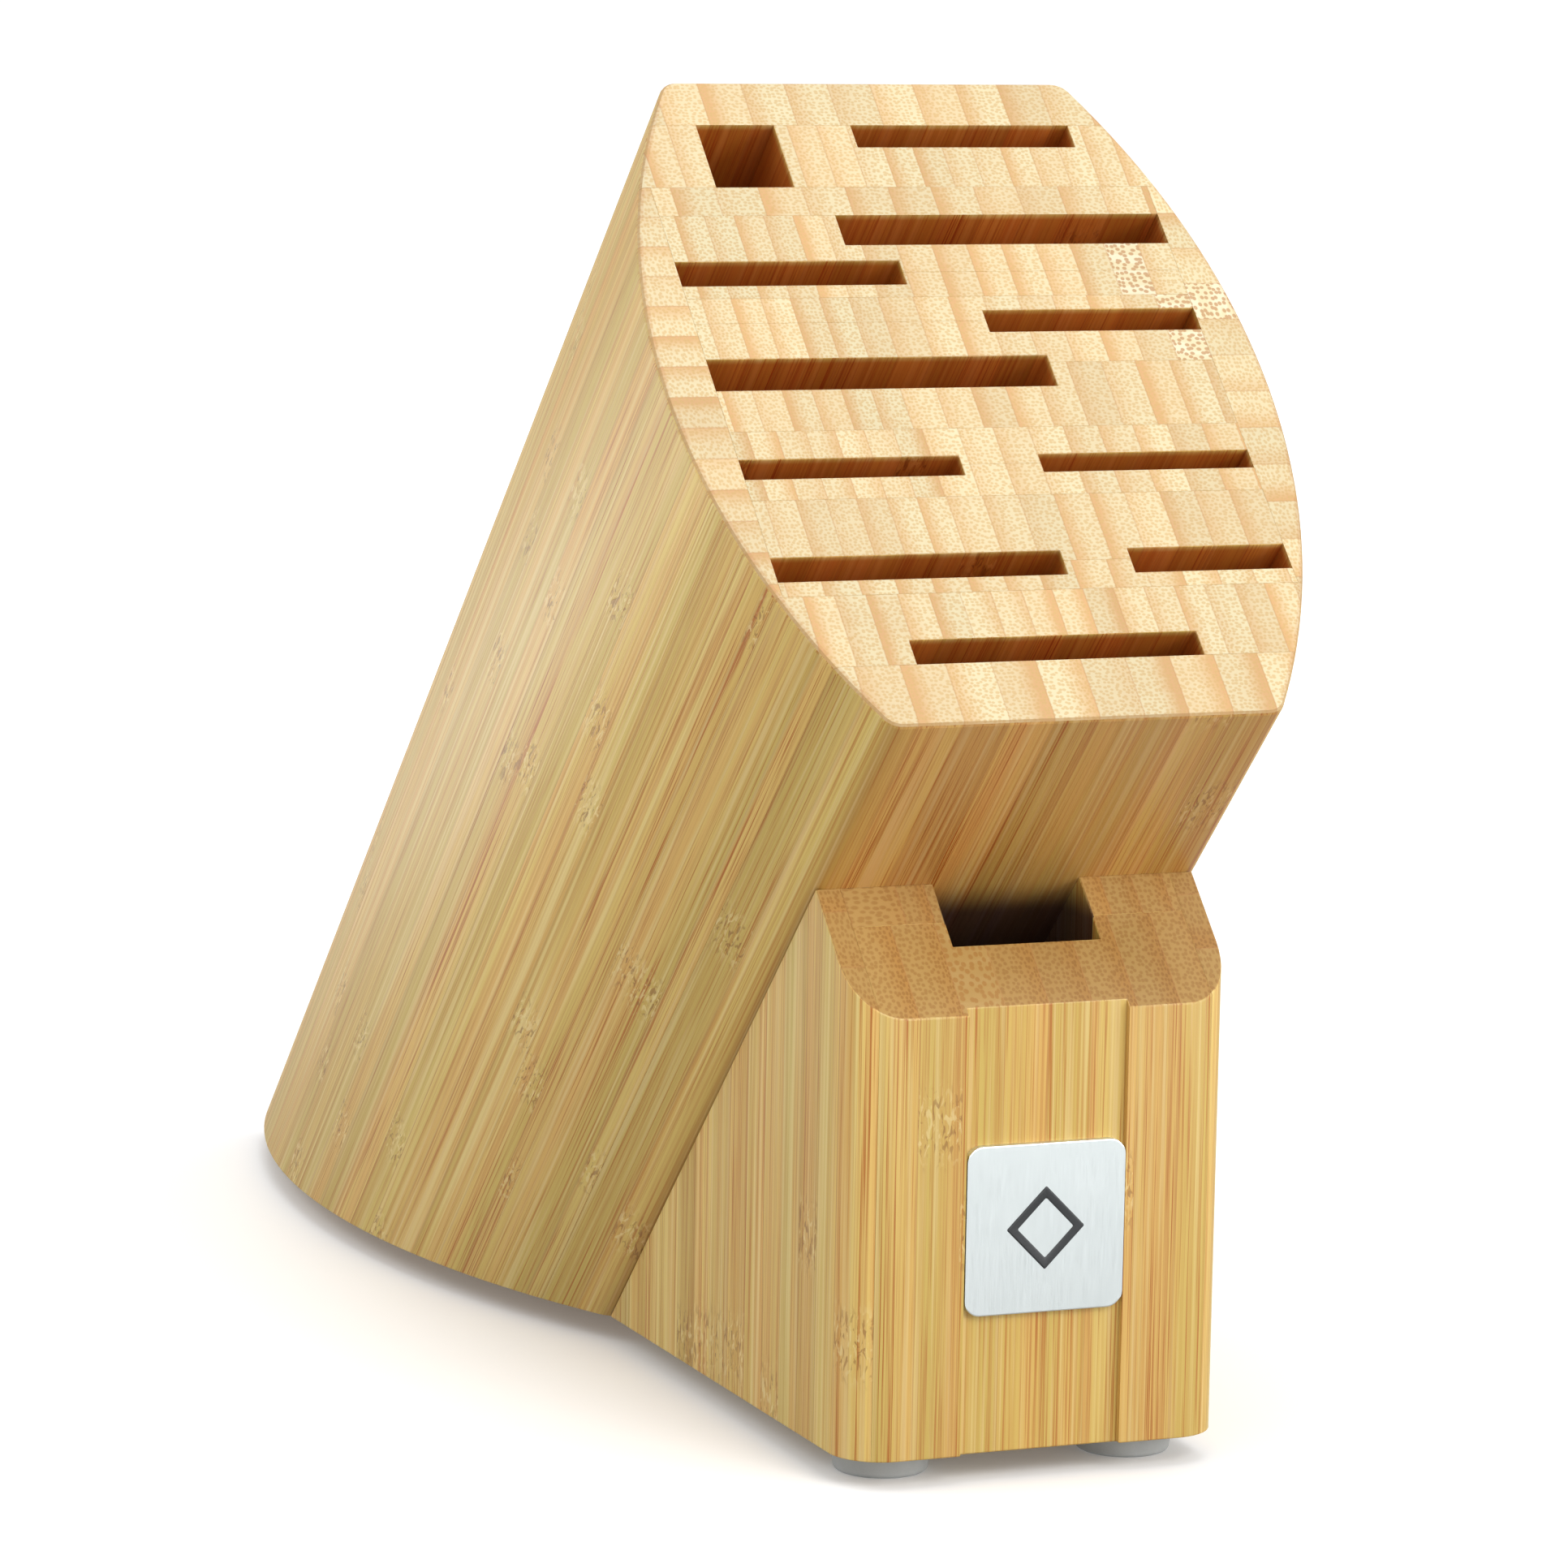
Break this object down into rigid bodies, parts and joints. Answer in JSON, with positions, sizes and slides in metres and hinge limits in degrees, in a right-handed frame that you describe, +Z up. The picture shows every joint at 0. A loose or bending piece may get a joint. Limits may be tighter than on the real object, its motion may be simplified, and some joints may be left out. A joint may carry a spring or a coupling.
{
  "type": "knife block",
  "caption": "Leaning laminated bamboo knife block, empty, with blade slots, a square steel hole, a shears pocket in its foot, a metal badge and rubber feet.",
  "frame": {"origin": "on the table, under the middle of the block's outer extent", "axes": "+Z up; +Y towards the back, away from the foot and badge; +X to the right seen from the front"},
  "size_m": [0.1016, 0.2954, 0.2092],
  "materials": {
    "body_bamboo": "laminated bamboo with a satin lacquer, end grain on the slotted face",
    "foot_bamboo": "laminated bamboo with upright grain and a satin lacquer",
    "dowel_wood": "plain beech, unfinished",
    "badge_steel": "fine vertical brushing",
    "badge_print": "thin dark enamel line",
    "foot_rubber": "light grey matt rubber",
    "screw_steel": "zinc-plated"
  },
  "bodies": {
    "root": {"badge": "badge_steel", "badge_mark": "badge_print", "board_01_back": "body_bamboo", "board_02_filler": "body_bamboo", "board_02_left": "body_bamboo", "board_02_right": "body_bamboo", "board_03": "body_bamboo", "board_04a": "body_bamboo", "board_04b": "body_bamboo", "board_05a": "body_bamboo", "board_05b": "body_bamboo", "board_06": "body_bamboo", "board_07a": "body_bamboo", "board_07b": "body_bamboo", "board_08": "body_bamboo", "board_09": "body_bamboo", "board_10": "body_bamboo", "board_11_front": "body_bamboo", "cheek_left": "body_bamboo", "cheek_right": "body_bamboo", "dowel_left": "dowel_wood", "dowel_right": "dowel_wood", "foot_block_left": "foot_bamboo", "foot_block_right": "foot_bamboo", "foot_board_front": "foot_bamboo", "foot_cheek_left": "foot_bamboo", "foot_cheek_right": "foot_bamboo", "foot_plug": "foot_bamboo", "foot_wedge": "foot_bamboo", "rubber_front_left": "foot_rubber", "rubber_front_right": "foot_rubber", "rubber_rear_left": "foot_rubber", "rubber_rear_right": "foot_rubber", "screw_front_left": "screw_steel", "screw_front_right": "screw_steel", "screw_rear_left": "screw_steel", "screw_rear_right": "screw_steel"}
  },
  "joints": []
}
